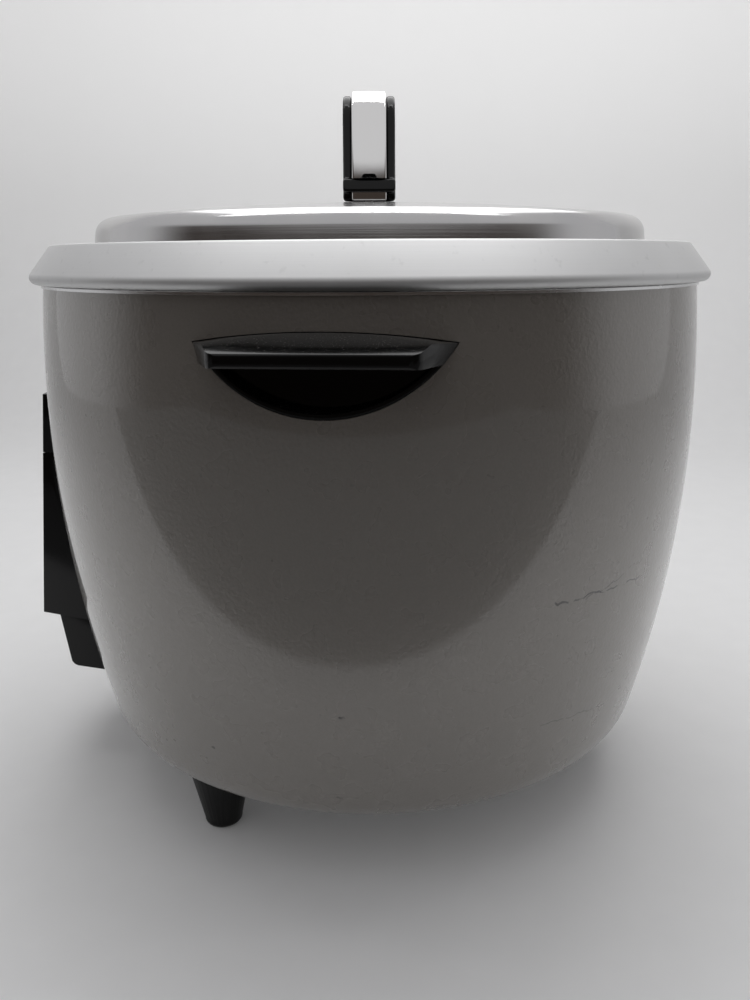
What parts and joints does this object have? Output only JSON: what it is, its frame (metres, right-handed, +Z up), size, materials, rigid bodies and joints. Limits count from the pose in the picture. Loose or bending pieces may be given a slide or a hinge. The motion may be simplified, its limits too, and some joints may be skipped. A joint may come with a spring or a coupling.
{
  "type": "rice cooker",
  "caption": "Large drop-in rice cooker: painted round body on feet, lift-out pan with a sloped brim, steel lid with an arch handle, recessed side grips and a front panel.",
  "frame": {"origin": "on the body's axis in the plane that the feet stand on", "axes": "+Z up; -Y is the front with the switch panel; the side handles and the lid's arch lie along X"},
  "size_m": [0.414, 0.3952, 0.3952],
  "materials": {
    "painted_steel": "silver-grey gloss paint, slightly speckled",
    "spun_aluminium": "satin, spun",
    "polished_stainless": "polished, fine circular brushing",
    "bright_trim": "bright",
    "galvanised_steel": "galvanised",
    "zinc_fasteners": "zinc plated",
    "spring_steel": "bright wire",
    "chrome_strip": "mirror",
    "black_gloss": "black, moulded gloss",
    "black_matte": "black, satin",
    "cast_aluminium": "cast, turned top",
    "heater_tube": "dull, heat darkened",
    "ferrite": "dark sintered",
    "brass_parts": "plain",
    "red_lens": "clear red",
    "amber_lens": "clear amber",
    "ivory_plastic": "plain",
    "lamp_glass": "clear",
    "red_plastic": "plain",
    "heater_tape": "woven insulated tape",
    "fuse_ceramic": "white",
    "wire_sleeve": "silicone sleeve"
  },
  "bodies": {
    "body": {"outer_shell": "painted_steel", "top_ring": "bright_trim", "inner_liner": "galvanised_steel", "base_plate": "galvanised_steel", "foot_front_right": "black_matte", "foot_front_left": "black_matte", "foot_rear": "black_matte", "foot_screws": "zinc_fasteners", "foot_nuts": "zinc_fasteners", "side_handle_right": "black_gloss", "side_handle_left": "black_gloss", "handle_bracket_right": "galvanised_steel", "handle_bracket_left": "galvanised_steel", "handle_screws": "zinc_fasteners", "panel_housing": "black_gloss", "panel_cap": "black_gloss", "panel_screws": "zinc_fasteners", "lens_cook": "red_lens", "lens_warm": "amber_lens", "lamp_holder": "ivory_plastic", "neon_lamps": "lamp_glass", "key_guard": "black_gloss", "lever_bracket": "galvanised_steel", "lever_rivets": "zinc_fasteners", "pivot_pin": "zinc_fasteners", "micro_switch": "black_matte", "switch_stand": "galvanised_steel", "thermostat_bracket": "galvanised_steel", "thermostat_spring": "spring_steel", "thermostat_screws": "zinc_fasteners", "magnet_spring": "spring_steel", "heater_plate": "cast_aluminium", "heater_element": "heater_tube", "heater_posts": "zinc_fasteners", "heater_screws": "zinc_fasteners", "warm_heater": "heater_tape", "terminal_block": "ivory_plastic", "thermal_fuse": "fuse_ceramic", "power_inlet": "black_matte", "inlet_pins": "brass_parts", "inlet_screws": "zinc_fasteners", "wiring": "wire_sleeve"},
    "pan": {"inner_pan": "spun_aluminium"},
    "lid": {"lid": "polished_stainless", "lid_handle": "black_gloss", "lid_handle_strip": "chrome_strip", "lid_screws": "zinc_fasteners", "lid_washers": "zinc_fasteners"},
    "key": {"cook_key": "black_gloss", "key_screw": "zinc_fasteners", "lever_arm": "galvanised_steel"},
    "magnet": {"magnet": "ferrite", "magnet_holder": "brass_parts"},
    "thermostat": {"thermostat_cap": "cast_aluminium", "ferrite_disc": "ferrite"},
    "plunger": {"switch_plunger": "red_plastic"}
  },
  "joints": [
    {"name": "pan_lift", "type": "slide", "parent": "body", "child": "pan", "axis": [0, 0, 1], "range_m": [0, 0.21]},
    {"name": "lid_lift", "type": "slide", "parent": "pan", "child": "lid", "axis": [0, 0, 1], "range_m": [0, 0.12]},
    {"name": "key_press", "type": "hinge", "parent": "body", "child": "key", "pos_m": [0, -0.085, 0.071], "axis": [1, 0, 0], "range_deg": [0, 4.5], "stiffness_Nm_per_rad": 0.5, "springref_deg": -14.32},
    {"name": "magnet_lift", "type": "slide", "parent": "body", "child": "magnet", "axis": [0, 0, 1], "range_m": [0, 0.0068], "deforming": ["magnet_spring"]},
    {"name": "plunger_press", "type": "slide", "parent": "body", "child": "plunger", "axis": [0, 0, -1], "range_m": [0, 0.0028]},
    {"name": "thermostat_press", "type": "slide", "parent": "body", "child": "thermostat", "axis": [0, 0, -1], "range_m": [0, 0.002], "stiffness_N_per_m": 400, "springref_m": -0.006, "deforming": ["thermostat_spring"]}
  ],
  "couplings": [
    {"joint": "magnet_lift", "follows": "key_press", "m_per_rad": 0.085},
    {"joint": "plunger_press", "follows": "key_press", "m_per_rad": 0.035}
  ]
}
